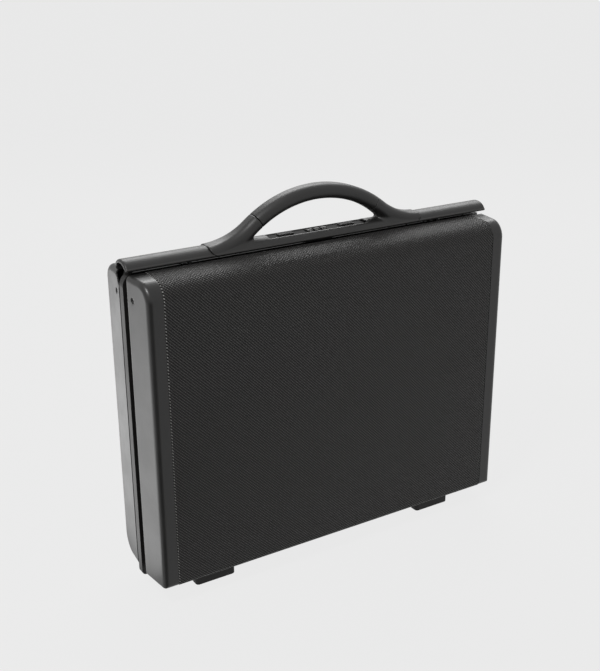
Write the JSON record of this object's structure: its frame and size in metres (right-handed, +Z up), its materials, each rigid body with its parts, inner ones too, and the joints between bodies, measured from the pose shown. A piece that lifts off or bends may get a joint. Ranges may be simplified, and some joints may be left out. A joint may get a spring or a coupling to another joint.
{
  "type": "attache case",
  "caption": "Hard-shell attache case standing on its feet, with a hinged lid on folding stays, an arched handle, a number lock and two thumb slides.",
  "frame": {"origin": "on the floor under the middle of the closed case", "axes": "+X along the width, to the right of the lid's face; +Y from the lid's face to the base's face; +Z up to the handle"},
  "size_m": [0.459, 0.106, 0.4274],
  "materials": {
    "textured_sheet": "embossed, satin",
    "cap_plastic": "fine satin",
    "frame_plastic": "satin",
    "rail_plastic": "fine satin",
    "grip_plastic": "soft satin",
    "rubber": "matte",
    "lining": "woven",
    "pocket": "grained",
    "steel": "brushed",
    "black_steel": "satin black",
    "dial_plastic": "gloss"
  },
  "bodies": {
    "base": {"base_panel": "textured_sheet", "base_end_cap_left": "cap_plastic", "base_end_cap_right": "cap_plastic", "base_frame": "frame_plastic", "base_lining": "lining", "base_hinge_leaf": "steel", "hinge_pin": "steel", "base_feet": "rubber", "base_screws": "black_steel", "rail_left": "rail_plastic", "rail_right": "rail_plastic", "rail_screws": "steel", "handle_body": "rail_plastic", "handle_grip": "grip_plastic", "handle_core": "steel", "handle_bolts": "steel", "lock_plate": "black_steel", "lock_housing": "black_steel", "lock_spindle": "steel", "latch_spring_left": "steel", "latch_spring_right": "steel", "stay_bracket_base_left": "steel", "stay_bracket_base_right": "steel"},
    "lid": {"lid_panel": "textured_sheet", "lid_end_cap_left": "cap_plastic", "lid_end_cap_right": "cap_plastic", "lid_frame": "frame_plastic", "lid_lining": "lining", "lid_pocket": "pocket", "lid_hinge_leaf": "steel", "lid_feet": "rubber", "lid_screws": "black_steel", "keeper_left": "steel", "keeper_right": "steel", "stay_bracket_lid_left": "steel", "stay_bracket_lid_right": "steel"},
    "latch_left": {"latch_button_left": "grip_plastic", "latch_rod_left": "steel"},
    "latch_right": {"latch_button_right": "grip_plastic", "latch_rod_right": "steel"},
    "dial_1": {"dial_1": "dial_plastic"},
    "dial_2": {"dial_2": "dial_plastic"},
    "dial_3": {"dial_3": "dial_plastic"},
    "stay_base_left": {"stay_arm_base_left": "steel"},
    "stay_lid_left": {"stay_arm_lid_left": "steel"},
    "stay_base_right": {"stay_arm_base_right": "steel"},
    "stay_lid_right": {"stay_arm_lid_right": "steel"}
  },
  "joints": [
    {"name": "lid_hinge", "type": "hinge", "parent": "base", "child": "lid", "pos_m": [0, -0.0066, 0.022], "axis": [1, 0, 0], "range_deg": [0, 95]},
    {"name": "latch_slide_left", "type": "slide", "parent": "base", "child": "latch_left", "axis": [-1, 0, 0], "range_m": [0, 0.006], "stiffness_N_per_m": 300, "springref_m": -0.004, "deforming": ["latch_spring_left"]},
    {"name": "latch_slide_right", "type": "slide", "parent": "base", "child": "latch_right", "axis": [1, 0, 0], "range_m": [0, 0.006], "stiffness_N_per_m": 300, "springref_m": -0.004, "deforming": ["latch_spring_right"]},
    {"name": "dial_1_turn", "type": "hinge", "parent": "base", "child": "dial_1", "pos_m": [-0.009, 0.0015, 0.3716], "axis": [1, 0, 0], "continuous": true},
    {"name": "dial_2_turn", "type": "hinge", "parent": "base", "child": "dial_2", "pos_m": [0, 0.0015, 0.3716], "axis": [1, 0, 0], "continuous": true},
    {"name": "dial_3_turn", "type": "hinge", "parent": "base", "child": "dial_3", "pos_m": [0.009, 0.0015, 0.3716], "axis": [1, 0, 0], "continuous": true},
    {"name": "stay_base_pivot_left", "type": "hinge", "parent": "base", "child": "stay_base_left", "pos_m": [-0.207, 0.0239, 0.084], "axis": [1, 0, 0], "range_deg": [-1, 96]},
    {"name": "stay_elbow_left", "type": "hinge", "parent": "stay_base_left", "child": "stay_lid_left", "pos_m": [-0.207, -0.0006, 0.146], "axis": [1, 0, 0], "range_deg": [-96, 1]},
    {"name": "stay_base_pivot_right", "type": "hinge", "parent": "base", "child": "stay_base_right", "pos_m": [0.207, 0.0239, 0.084], "axis": [1, 0, 0], "range_deg": [-1, 96]},
    {"name": "stay_elbow_right", "type": "hinge", "parent": "stay_base_right", "child": "stay_lid_right", "pos_m": [0.207, -0.0006, 0.146], "axis": [1, 0, 0], "range_deg": [-96, 1]}
  ],
  "couplings": [
    {"joint": "stay_base_pivot_left", "follows": "lid_hinge", "ratio": 1},
    {"joint": "stay_elbow_left", "follows": "lid_hinge", "ratio": -1},
    {"joint": "stay_base_pivot_right", "follows": "lid_hinge", "ratio": 1},
    {"joint": "stay_elbow_right", "follows": "lid_hinge", "ratio": -1}
  ]
}
